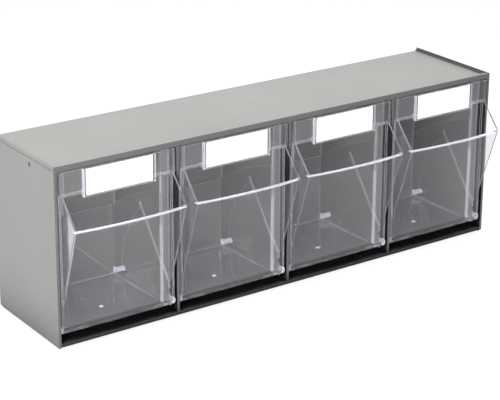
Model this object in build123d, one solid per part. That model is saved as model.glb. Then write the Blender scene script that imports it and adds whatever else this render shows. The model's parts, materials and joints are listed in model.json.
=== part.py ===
from build123d import *
import os
from math import asin, atan2, cos, degrees, hypot, radians, sin, tan

# A storage cabinet with a row of clear tilting bins. Millimetres.
# X runs along the cabinet, Y from front to back, Z up.
# All pieces are drawn with y = 0 on the cabinet's front plane, then moved so that
# the origin lies under the middle of the whole object, scoops included.

# Cabinet
cabinet_width = 600.0
cabinet_height = 206.0
cabinet_depth = 135.0
bin_count = 4
side_wall = 3.2
divider_wall = 3.5
tongue_height = 2.0
tongue_setback = 1.8
lip_height = 4.0
lip_wall = 1.5
stack_fit = 0.2
top_wall = 2.5
fascia_wall = 3.0
floor_wall = 2.5
floor_skirt = 1.5
skirt_wall = 2.5
back_wall = 2.5
back_setback = 1.0
groove_depth = 1.2
panel_fit = 0.1
score_depth = 0.4
score_height = 1.0
slot_rib_wall = 1.3
slot_rib_height = 2.6
slot_rib_setback = 16.0
edge_round = 0.5

# Holes
link_hole_radius = 2.55
link_hole_y = 52.5
link_hole_drop = 12.2
wall_hole_radius = 2.5
wall_hole_spacing = 450.0
wall_hole_drop = 30.0

# Bins
bin_side_gap = 2.9
bin_top_gap = 1.0
bin_wall = 1.8
bin_bottom_z = 16.8
floor_fall = 5.5
plate_proud = 2.0
plate_wall = 2.0
plate_height = 27.0
notch_return = 3.0
scoop_reach = 33.0
scoop_bow = 4.5
scoop_side_radius = 2.2
cheek_inset = 1.4
lip_drop = 30.5
lip_bead_radius = 1.4
foot_proud = 1.5
foot_bend_z = 44.0
foot_bend_radius = 70.0
frame_step_y = 1.5
frame_depth = 12.8
box_inset = 9.2
box_depth = 118.0
rim_front_z = 147.5
rim_middle_z = 128.0
rim_back_z = 97.5
box_corner_radius = 6.0
scoop_corner_radius = 2.4
floor_corner_radius = 4.0
gate_radius = 2.2
gate_height = 0.6
gate_y = 42.0

# Pivots, rear lugs and the guides that they run in
pivot_y = 6.0
pivot_z = 19.0
stud_radius = 2.5
stud_fit = 0.05
stud_entry = 1.5
socket_depth = 1.7
collar_radius = 4.0
collar_height = 1.2
lug_y = 112.0
lug_z = 20.0
lug_radius = 3.0
lug_bore_radius = 1.4
lug_bore_depth = 6.0
lug_end_gap = 0.6
guide_height = 1.7
guide_width = 2.4
guide_gap = 0.3
arc_gap = 0.6
stop_inner_radius = 10.0
stop_overrun = 4.0
tilt_range = 51.0

# Labels
card_width = 81.0
card_height = 28.8
card_wall = 0.5
card_fit = 0.1
holder_window = 1.0
holder_back = 1.2
holder_bar = 3.4
holder_base = 1.4
holder_fit = 0.1
holder_hook = 1.4
holder_hook_rise = 2.6
holder_drop = 3.5

# Places worked out from the sizes above
side_inner = cabinet_width / 2 - side_wall
bay_width = (2 * side_inner - (bin_count - 1) * divider_wall) / bin_count
bay_pitch = bay_width + divider_wall
bay_centres = [(i - (bin_count - 1) / 2) * bay_pitch for i in range(bin_count)]
divider_centres = [(i - (bin_count - 2) / 2) * bay_pitch for i in range(bin_count - 1)]
top_face_z = cabinet_height - lip_height
ceiling_z = top_face_z - top_wall
floor_z = tongue_height + floor_skirt + floor_wall
back_inner_y = cabinet_depth - back_setback - back_wall

frame_half = bay_width / 2 - bin_side_gap
box_half = frame_half - box_inset
bin_top_z = ceiling_z - bin_top_gap
notch_z = bin_top_z - plate_height
lip_z = notch_z - lip_drop
frame_front_y = frame_depth - bin_wall
floor_slope = floor_fall / (box_depth - frame_front_y)
plate_back_y = plate_wall - plate_proud
scoop_lean = atan2(scoop_reach - foot_proud, lip_z - foot_bend_z)

lug_radius_from_pivot = hypot(lug_y - pivot_y, lug_z - pivot_z)
lug_angle = atan2(lug_z - pivot_z, lug_y - pivot_y)
stop_half_angle = asin((lug_radius + guide_gap + guide_width / 2) / lug_radius_from_pivot)
stop_angle = lug_angle + radians(tilt_range) + stop_half_angle
arc_inner_radius = lug_radius_from_pivot + lug_radius + arc_gap
holder_back_y = -plate_proud - holder_fit
card_back_y = holder_back_y - holder_back - card_fit
card_bottom_z = notch_z - holder_drop + holder_base + card_fit


def block(x0, x1, y0, y1, z0, z1):
    """Box between two corners."""
    return Pos((x0 + x1) / 2, (y0 + y1) / 2, (z0 + z1) / 2) * Box(x1 - x0, y1 - y0, z1 - z0)


def rod(x0, x1, y, z, radius):
    """Round bar along X."""
    return Pos((x0 + x1) / 2, y, z) * Rot(0, 90, 0) * Cylinder(radius, x1 - x0)


def bar_on_y(x, z, y0, y1, radius):
    """Round bar along Y."""
    return Pos(x, (y0 + y1) / 2, z) * Rot(90, 0, 0) * Cylinder(radius, y1 - y0)


def side_prism(wire, x0, x1):
    """Closed outline in the YZ plane, given thickness along X."""
    return extrude(Pos(x0, 0, 0) * Face(wire), amount=x1 - x0, dir=(1, 0, 0))


def mirrored_pair(piece):
    """A piece and its twin on the other side of the YZ plane."""
    return [piece, mirror(piece, about=Plane.YZ)]


def at_pivot(angle, distance):
    """Point at an angle above the horizontal, seen from the side, round the pivot."""
    return (0, pivot_y + distance * cos(angle), pivot_z + distance * sin(angle))


def bin_underside(y):
    """Height of the box floor's underside, which falls towards the back."""
    return bin_bottom_z - floor_slope * (y - frame_front_y)


def guide_ribs(face_x, toward):
    """Stop, arc and rest ledge for one rear lug, standing on a wall's face."""
    x0, x1 = sorted((face_x, face_x + toward * guide_height))
    stop_outer_radius = arc_inner_radius + guide_width + stop_overrun
    stop = block(x0, x1, stop_inner_radius, stop_outer_radius, -guide_width / 2, guide_width / 2)
    stop = Pos(0, pivot_y, pivot_z) * Rot(degrees(stop_angle), 0, 0) * stop
    ledge_top = lug_z - lug_radius - guide_gap
    first_angle = asin((ledge_top - guide_width - pivot_z) / arc_inner_radius)
    middle_angle = (first_angle + stop_angle) / 2
    arc_outer_radius = arc_inner_radius + guide_width
    inner = [at_pivot(a, arc_inner_radius) for a in (first_angle, middle_angle, stop_angle)]
    outer = [at_pivot(a, arc_outer_radius) for a in (first_angle, middle_angle, stop_angle)]
    arc_wire = Wire([
        ThreePointArc(*inner),
        Line(inner[2], outer[2]),
        ThreePointArc(*outer[::-1]),
        Line(outer[0], inner[0]),
    ])
    arc = side_prism(arc_wire, x0, x1)
    ledge_y0 = lug_y - 2 * lug_radius
    ledge_y1 = pivot_y + arc_inner_radius + guide_width / 2
    ledge = block(x0, x1, ledge_y0, ledge_y1, ledge_top - guide_width, ledge_top)
    return [stop, arc, ledge]


def right_side_panel():
    """Outer wall with a rebate and tongue for stacking, panel grooves and the last bin's guides."""
    outer = cabinet_width / 2
    panel = block(side_inner, outer, 0, cabinet_depth, tongue_height, cabinet_height)
    panel = fillet(panel.faces().sort_by(Axis.X)[-1].edges(), edge_round)
    tongue_x = outer - lip_wall - stack_fit
    tongue_y1 = cabinet_depth - tongue_setback
    panel += block(side_inner, tongue_x, tongue_setback, tongue_y1, 0, tongue_height)
    rebate_y0 = tongue_setback - stack_fit
    rebate_z0 = cabinet_height - tongue_height - stack_fit
    panel -= block(side_inner, outer - lip_wall, rebate_y0, cabinet_depth, rebate_z0, cabinet_height)
    panel += guide_ribs(side_inner, -1)
    groove_x = side_inner + groove_depth
    fascia_back = fascia_wall + panel_fit
    ceiling_low = ceiling_z - panel_fit
    panel -= block(side_inner, groove_x, fascia_back, cabinet_depth, ceiling_low, top_face_z + panel_fit)
    floor_low = floor_z - floor_wall - panel_fit
    panel -= block(side_inner, groove_x, 0, cabinet_depth, floor_low, floor_z + panel_fit)
    back_y0 = back_inner_y - panel_fit
    back_y1 = back_inner_y + back_wall + panel_fit
    panel -= block(side_inner, groove_x, back_y0, back_y1, floor_z, ceiling_z)
    score_z = top_face_z - score_height
    panel -= block(outer - score_depth, outer, 0, cabinet_depth, score_z, top_face_z)
    panel -= rod(side_inner, outer, link_hole_y, cabinet_height - link_hole_drop, link_hole_radius)
    panel -= rod(side_inner, side_inner + socket_depth, pivot_y, pivot_z, stud_radius + stud_fit)
    return panel


def divider():
    """Wall between two bays, guides on both faces and one hole for both bins' studs."""
    half = divider_wall / 2
    foot = floor_z - groove_depth + panel_fit
    wall = block(-half, half, 0, back_inner_y - panel_fit, foot, ceiling_z - panel_fit)
    wall = fillet(wall.edges().filter_by(Axis.Z).group_by(Axis.Y)[0], edge_round)
    wall += guide_ribs(half, 1)
    wall += guide_ribs(-half, -1)
    return wall - rod(-half, half, pivot_y, pivot_z, stud_radius + stud_fit)


def top_panel():
    """Recessed top with the front fascia and the ribs that hold the dividers."""
    edge = side_inner + groove_depth - panel_fit
    plate = block(-edge, edge, fascia_wall + 2 * panel_fit, cabinet_depth, ceiling_z, top_face_z)
    fascia_half = side_inner - panel_fit
    fascia = block(-fascia_half, fascia_half, 0, fascia_wall, ceiling_z, cabinet_height)
    fascia = fillet(fascia.edges().filter_by(Axis.X).group_by(Axis.Y)[0], edge_round)
    joint = block(-fascia_half, fascia_half, fascia_wall / 2, 2 * fascia_wall, ceiling_z, top_face_z)
    panel = plate + fascia + joint
    rib_x = divider_wall / 2 + panel_fit
    rib_y1 = back_inner_y - panel_fit
    for centre in divider_centres:
        for side in (-1, 1):
            x0, x1 = sorted((centre + side * rib_x, centre + side * (rib_x + slot_rib_wall)))
            panel += block(x0, x1, slot_rib_setback, rib_y1, ceiling_z - slot_rib_height, ceiling_z)
    return panel


def bottom_panel():
    """Floor with skirts below its front and back edges and a groove for each divider."""
    edge = side_inner + groove_depth - panel_fit
    skirt_half = side_inner - panel_fit
    low = tongue_height
    panel = block(-edge, edge, 0, cabinet_depth, floor_z - floor_wall, floor_z)
    panel += block(-skirt_half, skirt_half, 0, skirt_wall, low, floor_z)
    panel += block(-skirt_half, skirt_half, cabinet_depth - skirt_wall, cabinet_depth, low, floor_z)
    half = divider_wall / 2 + panel_fit
    for centre in divider_centres:
        groove_y1 = back_inner_y
        panel -= block(centre - half, centre + half, 0, groove_y1, floor_z - groove_depth, floor_z)
    return panel


def back_panel():
    """Back wall held in the side panels' grooves, with the two wall-screw holes."""
    edge = side_inner + groove_depth - panel_fit
    y1 = back_inner_y + back_wall
    panel = block(-edge, edge, back_inner_y, y1, floor_z + panel_fit, ceiling_z - panel_fit)
    for side in (-1, 1):
        hole_x = side * wall_hole_spacing / 2
        panel -= bar_on_y(hole_x, cabinet_height - wall_hole_drop, back_inner_y, y1, wall_hole_radius)
    return panel


def scoop_outline():
    """Side view of the scoop on the bin's centre line: foot, front wall and mouth."""
    return FilletPolyline(
        (0, frame_depth, bin_bottom_z),
        (0, -foot_proud, bin_bottom_z),
        (0, -foot_proud, foot_bend_z),
        (0, -scoop_reach, lip_z),
        (0, -plate_proud - scoop_bow, notch_z),
        (0, frame_depth, notch_z),
        radius=[0, scoop_corner_radius, foot_bend_radius, 0, 0, 0],
        close=True,
    )


def scoop_hollow_outline():
    """The same view of the space inside the scoop, open between lip and plate."""
    inner_y = -foot_proud + bin_wall
    shift = bin_wall * (1 - sin(scoop_lean)) / cos(scoop_lean)
    bend_z = foot_bend_z + (bin_wall - shift) * cos(scoop_lean)
    top_y = inner_y - (notch_z - bend_z) * tan(scoop_lean)
    floor_top = bin_bottom_z + bin_wall
    return FilletPolyline(
        (0, frame_depth, floor_top),
        (0, inner_y, floor_top),
        (0, inner_y, bend_z),
        (0, top_y, notch_z),
        (0, frame_depth, notch_z),
        radius=[0, bin_wall, foot_bend_radius - bin_wall, 0, 0],
        close=True,
    )


def bowed(wire, half):
    """An outline swung about a far upright axis, so that its front bulges, cut to a width."""
    bow_radius = (frame_half**2 + scoop_bow**2) / (2 * scoop_bow)
    axis = Axis((0, bow_radius - scoop_reach, 0), (0, 0, 1))
    swing = 1.5 * degrees(asin(frame_half / bow_radius))
    solid = revolve(Face(wire).rotate(axis, -swing), axis=axis, revolution_arc=2 * swing)
    return solid & block(-half, half, -2 * scoop_reach, frame_front_y, 0, cabinet_height)


def round_sides(solid, half, radius):
    """The solid with its front corners rounded, seen from above, from foot to lip."""
    front = solid.edges().filter_by_position(Axis.Y, -2 * scoop_reach, notch_return)
    below_lip = front.filter_by_position(Axis.Z, 0, lip_z)
    return fillet([e for e in below_lip if abs(e.center().X) > half - radius], radius)


def frame_outer():
    """Outside of the bin's wide front, filled: scoop, label plate and returns."""
    half = frame_half - cheek_inset
    scoop = round_sides(bowed(scoop_outline(), half), half, scoop_side_radius)
    plate = block(-frame_half, frame_half, -plate_proud, frame_depth, notch_z, bin_top_z)
    returns = block(-frame_half, frame_half, frame_step_y, frame_depth, bin_bottom_z, bin_top_z)
    return scoop + plate + returns


def frame_hollow():
    """The space inside that front, open between the scoop's lip and the plate."""
    half = frame_half - cheek_inset - bin_wall
    scoop = round_sides(bowed(scoop_hollow_outline(), half), half, scoop_side_radius - bin_wall)
    half = frame_half - bin_wall
    top = bin_top_z + bin_wall
    step_y = frame_step_y + bin_wall
    behind_step = block(-half, half, step_y, frame_front_y, bin_bottom_z + bin_wall, top)
    behind_plate = block(-half, half, plate_back_y, frame_front_y, notch_z, top)
    return scoop + behind_step + behind_plate


def lip_bead():
    """Round bead along the scoop's lip, bowed with it."""
    circle = Wire([CenterArc((0, 0, 0), lip_bead_radius, 0, 360)])
    circle = Pos(0, lip_bead_radius - scoop_reach, lip_z) * Rot(0, 90, 0) * circle
    return bowed(circle, frame_half - cheek_inset - lip_bead_radius)


def notch_flange():
    """Return along the lower edge of the plate, where the label holder hooks on."""
    half = frame_half - bin_wall
    return block(-half, half, plate_back_y, plate_back_y + notch_return, notch_z, notch_z + bin_wall)


def box_outline():
    """Side view of the bin's box, whose rim falls towards the back in a shallow arc."""
    y0 = frame_front_y
    low_front = (0, y0, bin_underside(y0))
    low_back = (0, box_depth, bin_underside(box_depth))
    high_back = (0, box_depth, rim_back_z)
    high_middle = (0, (y0 + box_depth) / 2, rim_middle_z)
    high_front = (0, y0, rim_front_z)
    return Wire([
        Line(low_front, low_back),
        Line(low_back, high_back),
        ThreePointArc(high_back, high_middle, high_front),
        Line(high_front, low_front),
    ])


def box_hollow():
    """Space inside the box, with rounded corners, cut up past the rim and the frame."""
    half = box_half - bin_wall
    y1 = box_depth - bin_wall
    low_front = (0, frame_front_y, bin_underside(frame_front_y) + bin_wall)
    low_back = (0, y1, bin_underside(y1) + bin_wall)
    top = bin_top_z + bin_wall
    wire = Wire([
        Line(low_front, low_back),
        Line(low_back, (0, y1, top)),
        Line((0, y1, top), (0, frame_front_y, top)),
        Line((0, frame_front_y, top), low_front),
    ])
    hollow = side_prism(wire, -half, half)
    hollow = fillet(hollow.edges().filter_by(Axis.Z).group_by(Axis.Y)[-1], box_corner_radius - bin_wall)
    floor_edges = hollow.faces().sort_by(Axis.Z)[0].edges().group_by(Axis.Y)[1:]
    return fillet([e for group in floor_edges for e in group], floor_corner_radius - bin_wall)


def box_shell_outer():
    """Outside of the box, with the same corners one wall larger."""
    outer = side_prism(box_outline(), -box_half, box_half)
    outer = fillet(outer.edges().filter_by(Axis.Z).group_by(Axis.Y)[-1], box_corner_radius)
    floor_edges = outer.faces().sort_by(Axis.Z)[0].edges().group_by(Axis.Y)[1:]
    return fillet([e for group in floor_edges for e in group], floor_corner_radius)


def stud_and_lug():
    """Right-hand pivot stud with its collar, and the hollow lug at the back."""
    stud = rod(frame_half - bin_wall, bay_width / 2 + stud_entry, pivot_y, pivot_z, stud_radius)
    collar = rod(frame_half, frame_half + collar_height, pivot_y, pivot_z, collar_radius)
    lug_end = bay_width / 2 - lug_end_gap
    lug = rod(box_half - bin_wall / 2, lug_end, lug_y, lug_z, lug_radius)
    lug -= rod(lug_end - lug_bore_depth, lug_end, lug_y, lug_z, lug_bore_radius)
    return [stud, collar, lug]


def tilting_bin():
    """One clear bin, moulded in one piece."""
    piece = frame_outer() + box_shell_outer() - frame_hollow() - box_hollow()
    piece += [lip_bead(), notch_flange()]
    for item in stud_and_lug():
        piece += mirrored_pair(item)
    gate_top = bin_underside(gate_y) + bin_wall / 2
    gate_low = bin_underside(gate_y) - gate_height
    gate = Pos(0, gate_y, (gate_top + gate_low) / 2) * Cylinder(gate_radius, gate_top - gate_low)
    return piece + gate


def label_holder():
    """Clear holder that slides down over the card and hooks under the plate's edge."""
    half = card_width / 2 + card_fit + holder_bar
    front_y = card_back_y - card_wall - card_fit - holder_window
    low = notch_z - holder_drop
    holder = block(-half, half, front_y, holder_back_y, low, bin_top_z)
    pocket_half = card_width / 2 + card_fit
    pocket_y0 = front_y + holder_window
    pocket_y1 = holder_back_y - holder_back
    pocket = block(-pocket_half, pocket_half, pocket_y0, pocket_y1, low + holder_base, bin_top_z)
    hook_y1 = plate_back_y + notch_return + holder_fit + holder_hook
    hook_top = notch_z - holder_fit
    hook = block(-half, half, holder_back_y, hook_y1, hook_top - holder_hook, hook_top)
    rise_top = hook_top + holder_hook_rise
    hook += block(-half, half, hook_y1 - holder_hook, hook_y1, hook_top - holder_hook, rise_top)
    return holder - pocket + hook


def label_card():
    """Plain card in the holder."""
    half = card_width / 2
    y0 = card_back_y - card_wall
    return block(-half, half, y0, card_back_y, card_bottom_z, card_bottom_z + card_height)


def build_all():
    """Every piece by node name, still with y = 0 on the cabinet's front plane."""
    side = right_side_panel()
    pieces = {
        "right_side_panel": side,
        "left_side_panel": mirror(side, about=Plane.YZ),
        "top_panel": top_panel(),
        "bottom_panel": bottom_panel(),
        "back_panel": back_panel(),
    }
    wall = divider()
    for number, centre in enumerate(divider_centres, 1):
        pieces[f"divider_{number}"] = Pos(centre, 0, 0) * wall
    makers = {"bin": tilting_bin(), "label_holder": label_holder(), "label_card": label_card()}
    for name, piece in makers.items():
        for number, centre in enumerate(bay_centres, 1):
            pieces[f"{name}_{number}"] = Pos(centre, 0, 0) * piece
    return pieces


os.makedirs("parts", exist_ok=True)
middle_y = (cabinet_depth - scoop_reach) / 2
for node, solid in build_all().items():
    export_step(Pos(0, -middle_y, 0) * solid, f"parts/{node}.step")
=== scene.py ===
import bpy
import bmesh
import json
import math
from mathutils import Matrix, Vector

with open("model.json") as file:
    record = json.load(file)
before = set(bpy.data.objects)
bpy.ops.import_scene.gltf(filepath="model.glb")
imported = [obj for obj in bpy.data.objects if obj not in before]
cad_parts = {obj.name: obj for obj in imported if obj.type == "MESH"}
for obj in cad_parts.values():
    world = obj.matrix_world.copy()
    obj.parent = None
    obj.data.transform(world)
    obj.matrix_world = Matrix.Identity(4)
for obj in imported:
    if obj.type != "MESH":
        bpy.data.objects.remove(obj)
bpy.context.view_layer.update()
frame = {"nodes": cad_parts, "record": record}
mm = 0.001
binPitch = 149.275 * mm     # from one bin's middle to the next
print("frame loaded:", len(frame["nodes"]), "nodes")


# camera: same stance as the photograph, a long lens from the upper left
photoView = {
    "place": (-1078 * mm, -1503 * mm, 803 * mm),
    "turn": 35.18,          # degrees to the right of straight ahead
    "lookDown": 19.42,
    "roll": 0.41,
    "lens": 122.9,
    "sensorWidth": 36,
    "lensShiftY": -0.1,
    "farthest": 20,         # metres
}


def addCamera(view):
    turn, down = math.radians(view["turn"]), math.radians(view["lookDown"])
    ahead = Vector((math.sin(turn) * math.cos(down), math.cos(turn) * math.cos(down), -math.sin(down)))
    camera = bpy.data.objects.new("photoCamera", bpy.data.cameras.new("photoCamera"))
    bpy.context.scene.collection.objects.link(camera)
    aim = ahead.to_track_quat("-Z", "Y").to_matrix().to_4x4()
    roll = Matrix.Rotation(math.radians(view["roll"]), 4, "Z")
    camera.matrix_world = Matrix.Translation(view["place"]) @ aim @ roll
    camera.data.lens = view["lens"]
    camera.data.sensor_width = view["sensorWidth"]
    camera.data.shift_y = view["lensShiftY"]
    camera.data.clip_end = view["farthest"]
    bpy.context.scene.camera = camera


addCamera(photoView)
print("camera placed")


# colours are written as on a screen and turned to linear here
def linearColour(hexColour):
    channels = [int(hexColour[i:i + 2], 16) / 255 for i in (1, 3, 5)]
    return tuple(c / 12.92 if c <= 0.04045 else ((c + 0.055) / 1.055) ** 2.4 for c in channels) + (1.0,)


def addNode(tree, kind, settings=None, links=None):
    node = tree.nodes.new(kind)
    for key, value in (settings or {}).items():
        if key in node.inputs:
            node.inputs[key].default_value = value
        else:
            setattr(node, key, value)
    for key, source in (links or {}).items():
        tree.links.new(source, node.inputs[key])
    return node


# a hex colour or a number becomes the socket's value, and another node's output is linked to it
def feedSocket(tree, socket, value):
    if isinstance(value, str):
        socket.default_value = linearColour(value)
    elif isinstance(value, (int, float)):
        socket.default_value = value
    else:
        tree.links.new(value, socket)


def addMath(tree, operation, *values):
    node = addNode(tree, "ShaderNodeMath", {"operation": operation})
    for socket, value in zip(node.inputs, values):
        feedSocket(tree, socket, value)
    return node.outputs[0]


# a Mix node's two inputs and its output sit at other places for colours than for numbers
mixSockets = {"RGBA": (6, 7, 2), "FLOAT": (2, 3, 0)}


def addMix(tree, kind, share, first, second):
    firstInput, secondInput, result = mixSockets[kind]
    node = addNode(tree, "ShaderNodeMix", {"data_type": kind}, {0: share})
    feedSocket(tree, node.inputs[firstInput], first)
    feedSocket(tree, node.inputs[secondInput], second)
    return node.outputs[result]


# low where the value is at start, high where it is at end, and even in between
def addRange(tree, value, start, end, low, high):
    ends = {"From Min": start, "From Max": end, "To Min": low, "To Max": high}
    return addNode(tree, "ShaderNodeMapRange", ends, {"Value": value}).outputs["Result"]


def addNoise(tree, place, size, detail):
    node = addNode(tree, "ShaderNodeTexNoise", {"Scale": 1 / size, "Detail": detail}, {"Vector": place})
    return node.outputs["Fac"]


# a normal rounded over the edges, and how well it agrees with the face's: 1 away from edges
def roundEdges(tree, radius, samples):
    rounded = addNode(tree, "ShaderNodeBevel", {"samples": samples, "Radius": radius}).outputs[0]
    flat = addNode(tree, "ShaderNodeNewGeometry").outputs["Normal"]
    product = addNode(tree, "ShaderNodeVectorMath", {"operation": "DOT_PRODUCT"}, {0: rounded, 1: flat})
    return rounded, product.outputs["Value"]


# fine relief, on a given normal or else on the face's own
def addRelief(tree, height, strength, depth, normal=None):
    links = {"Height": height} if normal is None else {"Height": height, "Normal": normal}
    return addNode(tree, "ShaderNodeBump", {"Strength": strength, "Distance": depth}, links).outputs["Normal"]


# 1 inside a box given by its middle and half size in mm, 0 outside
def insideBox(tree, axes, box):
    inside = 1.0
    for axis, middle, half in zip(axes, box["middle"], box["half"]):
        inside = addMath(tree, "MULTIPLY", addMath(tree, "COMPARE", axis, middle * mm, half * mm), inside)
    return inside


def newMaterial(name):
    material = bpy.data.materials.new(name)
    material.use_nodes = True
    material.node_tree.nodes.clear()
    return material, material.node_tree


def finishMaterial(tree, shader):
    output = tree.nodes.new("ShaderNodeOutputMaterial")
    tree.links.new(shader.outputs[0], output.inputs["Surface"])


# grey polystyrene from a spark-eroded mould: satin, finely textured and slightly cloudy,
# with edges a little paler, so flat panels don't look like paint. The narrow places beside and
# under the bins get painted shade, nearly black where little open room is around them
greyPlastic = {
    "colour": "#787876",
    "cloudColour": "#686866",
    "edgeColour": "#868684",
    # painted shade for the narrow places, strongest where ambient occlusion is low
    "gapPaintedShadeColour": "#060607",
    "gapReach": 40 * mm,
    "gapSamples": 8,
    "gapFrom": 0.75,            # darkening starts at this share of open surroundings
    "gapFull": 0.5,
    "gapDarkness": 0.99,
    "sheen": 0.5,
    "roughness": 0.40,
    "ior": 1.59,
    "cloudSize": 130 * mm,
    "grainSize": 1.1 * mm,      # the real spark texture is finer, and would not show
    "grainDepth": 0.03 * mm,
    "grainStrength": 0.4,
    "detail": 2.0,
    "edgeRadius": 0.5 * mm,
    "edgeSamples": 6,
    "edgeFull": 0.8,
    "edgePaling": 0.7,
}
# the places beside and under the bins where shade is painted, as boxes with their middle and half size in mm
narrowPlaces = {
    "besideBins": {"middle": (0, -44.6, 94), "half": (296.9, 6.7, 104)},
    "underBins": {"middle": (0, -34.5, 4), "half": (296.9, 16.8, 4)},
}
# places where the grey is darker or paler, as boxes with their middle and half size in mm: painted
# shade on the narrow front faces, painted light on the insides, painted shade in the stacking rebates,
# sink marks over the dividers, painted highlights in the bays' back corners and on the stop ribs
greyMarksAndPaintedLight = {
    # painted shade: the narrow front faces darker
    "fronts": {"along": "whole", "middle": (0, -51.2, 100), "half": (301, 0.5, 110),
               "share": 0.7, "colour": "#5C5C5E"},
    # painted light: the insides paler
    "insides": {"along": "whole", "middle": (0, 23, 104), "half": (296.9, 60, 94),
                "share": 0.7, "colour": "#8E8E8E"},
    # painted shade: the stacking rebates nearly black
    "rebate": {"along": "bothEnds", "middle": (297.7, 17.6, 204.3), "half": (1.0, 66.8, 2.2),
               "share": 0.75, "colour": "#0E0F10"},
    "sinkMark": {"along": "dividers", "middle": (0, 17, 202), "half": (1.0, 65, 0.6),
                 "share": 0.4, "colour": "#646462"},
    # painted highlight: a pale line in the bays' back corners
    "backCorner": {"along": "dividers", "middle": (-3.0, 80.6, 100), "half": (1.25, 0.5, 93),
                   "share": 0.8, "colour": "#A6A6A4"},
    # painted highlight: the stop ribs paler
    "stopRib": {"along": "stopRibs", "middle": (2.75, 0, 64), "half": (1.05, 1.7, 52),
                "share": 0.55, "colour": "#B8B8B6"},
}
# the stop ribs' middle line runs up and back from the bins' pivot
ribLine = {"y": -45 * mm, "z": 19 * mm, "rise": math.radians(54)}


# the three coordinates that a mark is measured by: the cabinet's own, the same for both ends,
# from the nearest divider, or from it and along a stop rib
def markAxes(tree, place, along):
    x, y, z = addNode(tree, "ShaderNodeSeparateXYZ", None, {0: place}).outputs
    if along == "whole":
        return x, y, z
    if along == "bothEnds":
        return addMath(tree, "ABSOLUTE", x), y, z
    fromDivider = addMath(tree, "WRAP", x, binPitch / 2, -binPitch / 2)
    if along == "dividers":
        return fromDivider, y, z
    forward, upward = math.cos(ribLine["rise"]), math.sin(ribLine["rise"])
    behind = addMath(tree, "SUBTRACT", y, ribLine["y"])
    above = addMath(tree, "SUBTRACT", z, ribLine["z"])
    lengthwise = addMath(tree, "ADD", addMath(tree, "MULTIPLY", behind, forward),
                         addMath(tree, "MULTIPLY", above, upward))
    aside = addMath(tree, "SUBTRACT", addMath(tree, "MULTIPLY", behind, upward),
                    addMath(tree, "MULTIPLY", above, forward))
    return addMath(tree, "ABSOLUTE", fromDivider), aside, lengthwise


# painted shade: dark where ambient occlusion finds little light getting in, but only inside the narrow places
def paintedGapShade(tree, place, look, narrow):
    reach = {"samples": look["gapSamples"], "Distance": look["gapReach"]}
    openness = addNode(tree, "ShaderNodeAmbientOcclusion", reach).outputs["AO"]
    dark = addRange(tree, openness, look["gapFrom"], look["gapFull"], 0.0, look["gapDarkness"])
    axes = markAxes(tree, place, "whole")
    within = [insideBox(tree, axes, box) for box in narrow.values()]
    return addMath(tree, "MULTIPLY", dark, addMath(tree, "MAXIMUM", *within))


def makeGreyPlastic(look, marks, narrow):
    material, tree = newMaterial("greyPolystyrene")
    place = addNode(tree, "ShaderNodeTexCoord").outputs["Object"]
    clouds = addNoise(tree, place, look["cloudSize"], look["detail"])
    grain = addNoise(tree, place, look["grainSize"], look["detail"])
    rounded, agreement = roundEdges(tree, look["edgeRadius"], look["edgeSamples"])
    paleEdges = addRange(tree, agreement, 1.0, look["edgeFull"], 0.0, look["edgePaling"])
    tone = addMix(tree, "RGBA", clouds, look["colour"], look["cloudColour"])
    tone = addMix(tree, "RGBA", paleEdges, tone, look["edgeColour"])
    for mark in marks.values():
        inside = insideBox(tree, markAxes(tree, place, mark["along"]), mark)
        tone = addMix(tree, "RGBA", addMath(tree, "MULTIPLY", inside, mark["share"]), tone, mark["colour"])
    # the painted shade darkens the colour and takes away the sheen in the narrow places
    dark = paintedGapShade(tree, place, look, narrow)
    tone = addMix(tree, "RGBA", dark, tone, look["gapPaintedShadeColour"])
    sheen = addMath(tree, "SUBTRACT", look["sheen"], addMath(tree, "MULTIPLY", dark, look["sheen"]))
    relief = addRelief(tree, grain, look["grainStrength"], look["grainDepth"], rounded)
    shader = addNode(tree, "ShaderNodeBsdfPrincipled", {"Roughness": look["roughness"], "IOR": look["ior"]},
                     {"Base Color": tone, "Normal": relief, "Specular IOR Level": sheen})
    finishMaterial(tree, shader)
    return material


# clear polystyrene from a polished mould: glassy, with a slight wave in its faces. Its edges, the
# bead along the lip and the small moulded details carry painted highlights that glow white, with a
# faint painted haze all over. It throws only a faint shadow, so the bins' insides stay light
clearPlastic = {
    "colour": "#FBFBFC",
    "shade": "#FBFBFC",
    "paintedGlowColour": "#EEF1FA",
    "paintedGlowStrength": 0.4,
    "paintedGlowRoughness": 0.2,
    "roughness": 0.02,
    "ior": 1.59,
    "haze": 0.006,
    "waveSize": 30 * mm,
    "waveDepth": 0.08 * mm,
    "waveStrength": 0.2,
    "waveDetail": 1.0,
    "edgeRadius": 0.7 * mm,
    "edgeSamples": 4,
    "edgeFrom": 0.99,
    "edgeFull": 0.85,
    "edgeGlowShare": 0.38,
}
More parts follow.
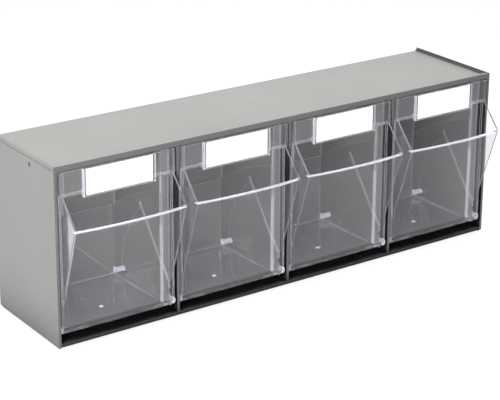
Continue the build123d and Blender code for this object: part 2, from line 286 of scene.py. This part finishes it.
# where painted highlights glow in a bin: middle and half size in mm from the bin's middle, and how much
paintedGlowSpots = {
    "lipBead": {"middle": (0, -82, 141.2), "half": (70, 8, 0.75), "share": 0.30},
    "rightWallEnd": {"middle": (60, -39, 92), "half": (1.1, 2.2, 78), "share": 0.11},
    "rightWallFoot": {"middle": (60, -39, 62), "half": (1.1, 2.4, 48), "share": 0.26},
    "rightReturn": {"middle": (62, -39, 92), "half": (3.2, 2.2, 78), "share": 0.02},
    "leftWallEnd": {"middle": (-60, -39, 92), "half": (1.0, 2.2, 78), "share": 0.05},
    "rightLug": {"middle": (66, 61, 20), "half": (6.5, 4, 4), "share": 0.42},
    "leftLug": {"middle": (-66, 61, 20), "half": (6.5, 4, 4), "share": 0.25},
    "rightCollar": {"middle": (71.4, -45, 19), "half": (1.6, 5, 5), "share": 0.34},
    "leftCollar": {"middle": (-71.4, -45, 19), "half": (1.6, 5, 5), "share": 0.2},
    "leftCheek": {"middle": (-67.5, -68, 108), "half": (1.6, 16.5, 64), "share": 0.025},
    "plate": {"middle": (0, -51.5, 185), "half": (69.5, 2.2, 13.6), "share": 0.018},
    "gateMark": {"middle": (0, -9, 15.2), "half": (2.1, 2.1, 2.2), "share": 0.85},
    "floor": {"middle": (0, 5, 14.5), "half": (57, 58, 4.0), "share": 0.028},
    "rightFloorEdge": {"middle": (59.3, 5, 15), "half": (1.7, 60, 3.4), "share": 0.08},
    "backFloorEdge": {"middle": (0, 65.4, 13.5), "half": (60, 1.8, 3.0), "share": 0.05},
}
# the same for the label holder: painted highlights at its two ends beside the card
sleevePaintedGlowSpots = {
    "leftEnd": {"middle": (-43.3, -54, 185), "half": (0.9, 6, 18), "share": 0.34},
    "rightEnd": {"middle": (43.5, -54, 185), "half": (0.7, 6, 18), "share": 0.12},
}


def paintedGlowMask(tree, place, spots):
    x, y, z = addNode(tree, "ShaderNodeSeparateXYZ", None, {0: place}).outputs
    shifted = addMath(tree, "SUBTRACT", x, binPitch / 2)
    fromMiddle = addMath(tree, "WRAP", shifted, binPitch / 2, -binPitch / 2)
    total = 0.0
    for spot in spots.values():
        inside = insideBox(tree, (fromMiddle, y, z), spot)
        total = addMath(tree, "MAXIMUM", total, addMath(tree, "MULTIPLY", inside, spot["share"]))
    return total


def makeClearPlastic(name, look, spots):
    material, tree = newMaterial(name)
    place = addNode(tree, "ShaderNodeTexCoord").outputs["Object"]
    waves = addNoise(tree, place, look["waveSize"], look["waveDetail"])
    rounded, agreement = roundEdges(tree, look["edgeRadius"], look["edgeSamples"])
    relief = addRelief(tree, waves, look["waveStrength"], look["waveDepth"], rounded)
    glassy = addNode(tree, "ShaderNodeBsdfPrincipled",
                     {"Base Color": linearColour(look["colour"]), "Roughness": look["roughness"],
                      "IOR": look["ior"], "Transmission Weight": 1.0}, {"Normal": relief})
    # painted highlights: white glow near edges and in the spots, and a faint painted haze everywhere
    nearEdge = addRange(tree, agreement, look["edgeFrom"], look["edgeFull"], 0.0, look["edgeGlowShare"])
    share = addMath(tree, "MAXIMUM", nearEdge, paintedGlowMask(tree, place, spots))
    share = addMath(tree, "MAXIMUM", share, look["haze"])
    glow = addNode(tree, "ShaderNodeBsdfPrincipled",
                   {"Base Color": linearColour(look["paintedGlowColour"]), "Roughness": look["paintedGlowRoughness"],
                    "IOR": look["ior"], "Emission Color": linearColour(look["paintedGlowColour"]),
                    "Emission Strength": look["paintedGlowStrength"]})
    body = addNode(tree, "ShaderNodeMixShader", None, {0: share, 1: glassy.outputs[0], 2: glow.outputs[0]})
    faint = addNode(tree, "ShaderNodeBsdfTransparent", {"Color": linearColour(look["shade"])})
    rays = addNode(tree, "ShaderNodeLightPath").outputs
    passing = addMath(tree, "MAXIMUM", rays["Is Shadow Ray"], rays["Is Diffuse Ray"])
    shader = addNode(tree, "ShaderNodeMixShader", None, {0: passing, 1: body.outputs[0], 2: faint.outputs[0]})
    finishMaterial(tree, shader)
    return material


# uncoated white card with a faint fibre, and with a painted glow on it, so it looks
# whiter than the light on it
cardPaper = {
    "colour": "#FAFAF8",
    "paintedCardGlow": 0.3,
    "roughness": 0.8,
    "fibreSize": 1.2 * mm,
    "fibreDepth": 0.02 * mm,
    "fibreStrength": 0.3,
    "fibreDetail": 4.0,
}


def makeCardPaper(look):
    material, tree = newMaterial("whiteCard")
    place = addNode(tree, "ShaderNodeTexCoord").outputs["Object"]
    fibres = addNoise(tree, place, look["fibreSize"], look["fibreDetail"])
    relief = addRelief(tree, fibres, look["fibreStrength"], look["fibreDepth"])
    colour = linearColour(look["colour"])
    shader = addNode(tree, "ShaderNodeBsdfPrincipled",
                     {"Base Color": colour, "Roughness": look["roughness"],
                      "Emission Color": colour, "Emission Strength": look["paintedCardGlow"]}, {"Normal": relief})
    finishMaterial(tree, shader)
    return material


materials = {
    "cabinet_grey": makeGreyPlastic(greyPlastic, greyMarksAndPaintedLight, narrowPlaces),
    "clear_bin": makeClearPlastic("clearPolystyrene", clearPlastic, paintedGlowSpots),
    "clear_holder": makeClearPlastic("clearHolder", clearPlastic, sleevePaintedGlowSpots),
    "white_card": makeCardPaper(cardPaper),
}
slotOfNode = {part["node"]: part["material_slot"] for part in frame["record"]["subparts"]}


def dressNodes():
    for name, node in frame["nodes"].items():
        node.data.materials.clear()
        node.data.materials.append(materials[slotOfNode[name]])


dressNodes()
print("materials given")


# where the camera looks at the studio, straight or through clear plastic, it sees plain white;
# reflections see the real, softer light. Bounces are whole numbers, so under a half means none
def seenPlainly(tree):
    rays = addNode(tree, "ShaderNodeLightPath").outputs
    bounces = addMath(tree, "ADD", rays["Glossy Depth"], rays["Diffuse Depth"])
    unbounced = addMath(tree, "LESS_THAN", bounces, 0.5)
    through = addMath(tree, "MULTIPLY", rays["Is Transmission Ray"], unbounced)
    return addMath(tree, "MAXIMUM", rays["Is Camera Ray"], through)


# floor: a pale sheet, white to the camera except in the object's shadow. In reflections it is
# darker, and to the left of the object, where the light comes from, bright
studioFloor = {
    "size": 12.0,
    "colour": "#848484",
    "colourSeen": "#F4F4F4",
    "plainShare": 0.8,
    "plainLevel": 1.0,
    "plainFrom": 700 * mm,
    "plainTo": 1300 * mm,
    "brightFrom": -300 * mm,
    "brightTo": -350 * mm,
    "brightLevel": 1.5,
}
white = linearColour("#FFFFFF")


def makeFloorSheet(look):
    material, tree = newMaterial("paleFloor")
    place = addNode(tree, "ShaderNodeTexCoord").outputs["Object"]
    across = addNode(tree, "ShaderNodeSeparateXYZ", None, {0: place}).outputs["X"]
    bright = addRange(tree, across, look["brightFrom"], look["brightTo"], 0.0, look["brightLevel"])
    rays = addNode(tree, "ShaderNodeLightPath").outputs
    mirrored = addMath(tree, "MULTIPLY", bright, rays["Is Glossy Ray"])
    distance = addNode(tree, "ShaderNodeVectorMath", {"operation": "LENGTH"}, {0: place}).outputs["Value"]
    farShare = addRange(tree, distance, look["plainFrom"], look["plainTo"], look["plainShare"], 1.0)
    seen = seenPlainly(tree)
    tone = addMix(tree, "RGBA", seen, look["colour"], look["colourSeen"])
    sheet = addNode(tree, "ShaderNodeBsdfDiffuse", None, {"Color": tone})
    shine = addNode(tree, "ShaderNodeEmission", {"Color": white}, {"Strength": mirrored})
    lighted = addNode(tree, "ShaderNodeAddShader", None, {0: sheet.outputs[0], 1: shine.outputs[0]})
    glow = addNode(tree, "ShaderNodeEmission", {"Color": white, "Strength": look["plainLevel"]})
    plain = addMath(tree, "MULTIPLY", seen, farShare)
    blend = addNode(tree, "ShaderNodeMixShader", None, {0: plain, 1: lighted.outputs[0], 2: glow.outputs[0]})
    finishMaterial(tree, blend)
    return material


def addFloor(look):
    mesh = bpy.data.meshes.new("floor")
    grid = bmesh.new()
    bmesh.ops.create_grid(grid, x_segments=1, y_segments=1, size=look["size"] / 2)
    grid.to_mesh(mesh)
    grid.free()
    mesh.materials.append(makeFloorSheet(look))
    floor = bpy.data.objects.new("floor", mesh)
    bpy.context.scene.collection.objects.link(floor)


addFloor(studioFloor)


# light: an even white room, a broad box overhead, and smaller ones low on the left, in front of
# the bins and on the right
studioWorld = {"seen": 1.0, "inReflections": 0.9, "onSurfaces": 0.30}
studioLamps = {
    "overhead": {"place": (-0.2, 0.15, 1.9), "width": 2.4, "depth": 1.2, "power": 79.0, "mirrored": True},
    "left": {"place": (-1.9, 0.4, 0.3), "width": 1.2, "depth": 0.5, "power": 6.0, "mirrored": False},
    "right": {"place": (2.0, -0.4, 0.9), "width": 1.2, "depth": 1.2, "power": 18.0, "mirrored": False},
    "front": {"place": (-1.05, -1.1, 0.3), "width": 1.0, "depth": 0.5, "power": 23.0, "mirrored": False},
}


def addWorld(look):
    world = bpy.data.worlds.new("studioWhite")
    bpy.context.scene.world = world
    world.use_nodes = True
    tree = world.node_tree
    tree.nodes.clear()
    rays = addNode(tree, "ShaderNodeLightPath").outputs
    level = addMix(tree, "FLOAT", rays["Is Diffuse Ray"], look["inReflections"], look["onSurfaces"])
    level = addMix(tree, "FLOAT", seenPlainly(tree), level, look["seen"])
    back = addNode(tree, "ShaderNodeBackground", {"Color": white}, {"Strength": level})
    output = tree.nodes.new("ShaderNodeOutputWorld")
    tree.links.new(back.outputs[0], output.inputs["Surface"])


def addLamp(name, look):
    lamp = bpy.data.lights.new(name + "Lamp", "AREA")
    lamp.shape = "RECTANGLE"
    lamp.size = look["width"]
    lamp.size_y = look["depth"]
    lamp.energy = look["power"]
    holder = bpy.data.objects.new(name + "Lamp", lamp)
    bpy.context.scene.collection.objects.link(holder)
    holder.location = look["place"]
    holder.rotation_mode = "QUATERNION"
    holder.rotation_quaternion = (-Vector(look["place"])).to_track_quat("-Z", "Y")
    holder.visible_glossy = look["mirrored"]
    holder.visible_camera = False


addWorld(studioWorld)
for name, look in studioLamps.items():
    addLamp(name, look)
bpy.context.scene.view_settings.view_transform = "Standard"
print("studio lit")
